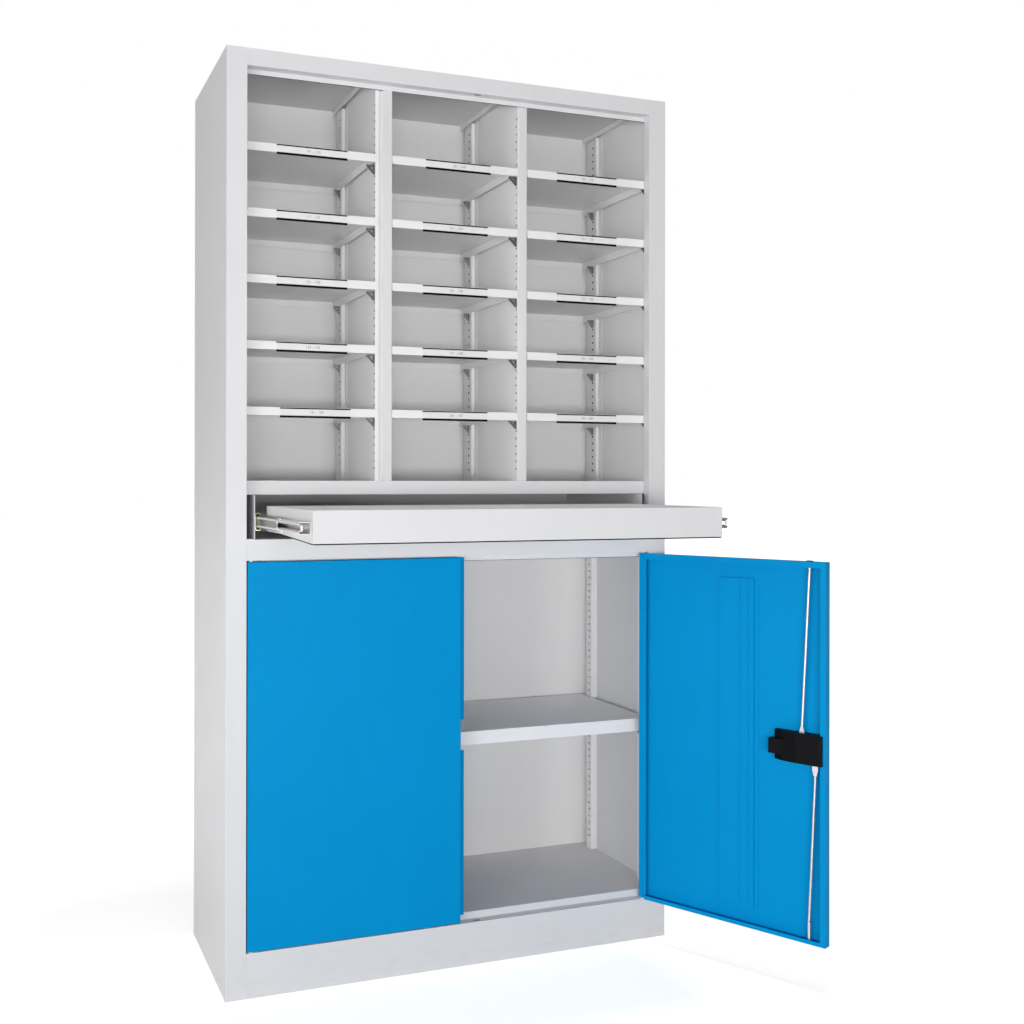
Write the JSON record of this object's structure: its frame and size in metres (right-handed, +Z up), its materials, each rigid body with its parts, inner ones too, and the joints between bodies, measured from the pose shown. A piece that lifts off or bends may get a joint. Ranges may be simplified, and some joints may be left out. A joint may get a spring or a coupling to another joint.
{
  "type": "pigeonhole mail sorter",
  "caption": "Tall steel mail sorter cabinet with three bays of labelled pigeonholes, a pull-out worktop and a two-door cupboard below.",
  "frame": {"origin": "centre of the carcass footprint, on the floor", "axes": "+X to the right and +Y to the back as seen from the front, +Z up; the doors face -Y"},
  "size_m": [1.1982, 0.8063, 1.95],
  "materials": {
    "cabinet_paint": "satin powder coat, light grey",
    "inner_paint": "satin powder coat, light grey",
    "shelf_paint": "satin powder coat, light grey",
    "door_paint": "satin powder coat, light blue",
    "zinc_plate": "zinc plated",
    "black_plastic": "moulded, fine grain",
    "bush_plastic": "moulded",
    "card": "matt card"
  },
  "bodies": {
    "cabinet": {"back_panel": "cabinet_paint", "bay_back_panel": "inner_paint", "cabinet_floor": "cabinet_paint", "ceiling_rails": "inner_paint", "cupboard_uprights": "inner_paint", "door_bushes": "bush_plastic", "door_header_rail": "cabinet_paint", "front_plinth": "cabinet_paint", "label_cards": "card", "label_holders": "black_plastic", "left_bay_left_wall": "inner_paint", "left_bay_right_wall": "inner_paint", "left_divider_post": "cabinet_paint", "left_shelf_1": "shelf_paint", "left_shelf_2": "shelf_paint", "left_shelf_3": "shelf_paint", "left_shelf_4": "shelf_paint", "left_shelf_5": "shelf_paint", "left_side_panel": "cabinet_paint", "lower_shelf": "shelf_paint", "mid_deck": "cabinet_paint", "middle_bay_left_wall": "inner_paint", "middle_bay_right_wall": "inner_paint", "middle_shelf_1": "shelf_paint", "middle_shelf_2": "shelf_paint", "middle_shelf_3": "shelf_paint", "middle_shelf_4": "shelf_paint", "middle_shelf_5": "shelf_paint", "rear_uprights": "inner_paint", "right_bay_left_wall": "inner_paint", "right_bay_right_wall": "inner_paint", "right_divider_post": "cabinet_paint", "right_shelf_1": "shelf_paint", "right_shelf_2": "shelf_paint", "right_shelf_3": "shelf_paint", "right_shelf_4": "shelf_paint", "right_shelf_5": "shelf_paint", "right_side_panel": "cabinet_paint", "shelf_clips": "zinc_plate", "slide_brackets": "cabinet_paint", "slide_outer_members": "zinc_plate", "sorter_deck": "cabinet_paint", "top_inner_rail": "cabinet_paint", "top_panel": "cabinet_paint"},
    "left_door": {"left_door_panel": "door_paint", "left_door_stiffener": "door_paint", "left_door_edge_strip": "door_paint", "left_door_pins": "zinc_plate"},
    "right_door": {"right_door_panel": "door_paint", "right_door_stiffener": "door_paint", "right_door_pins": "zinc_plate", "lock_housing": "black_plastic", "lock_rosette": "black_plastic"},
    "lock": {"lock_knob": "black_plastic", "lock_cam": "zinc_plate"},
    "upper_rod": {"upper_lock_rod": "zinc_plate"},
    "lower_rod": {"lower_lock_rod": "zinc_plate"},
    "slide_middle": {"slide_middle_members": "zinc_plate"},
    "worktop": {"worktop_tray": "cabinet_paint", "slide_inner_members": "zinc_plate"}
  },
  "joints": [
    {"name": "left_door_hinge", "type": "hinge", "parent": "cabinet", "child": "left_door", "pos_m": [-0.4595, -0.194, 0.5], "axis": [0, 0, -1], "range_deg": [0, 116.8]},
    {"name": "right_door_hinge", "type": "hinge", "parent": "cabinet", "child": "right_door", "pos_m": [0.4595, -0.194, 0.5], "axis": [0, 0, 1], "range_deg": [-116.8, 0]},
    {"name": "lock_turn", "type": "hinge", "parent": "right_door", "child": "lock", "pos_m": [0.64616, -0.56353, 0.502], "axis": [0.8926, 0.4509, 0], "range_deg": [0, 90]},
    {"name": "upper_rod_slide", "type": "slide", "parent": "right_door", "child": "upper_rod", "axis": [0, 0, 1], "range_m": [0, 0.015]},
    {"name": "lower_rod_slide", "type": "slide", "parent": "right_door", "child": "lower_rod", "axis": [0, 0, -1], "range_m": [0, 0.015]},
    {"name": "worktop_slide", "type": "slide", "parent": "cabinet", "child": "worktop", "axis": [0, -1, 0], "range_m": [-0.369, 0]},
    {"name": "slide_middle_travel", "type": "slide", "parent": "cabinet", "child": "slide_middle", "axis": [0, -1, 0], "range_m": [-0.1845, 0]}
  ],
  "couplings": [
    {"joint": "lock_turn", "follows": "upper_rod_slide", "rad_per_m": 104.72},
    {"joint": "lower_rod_slide", "follows": "upper_rod_slide", "ratio": 1},
    {"joint": "slide_middle_travel", "follows": "worktop_slide", "ratio": 0.5}
  ]
}
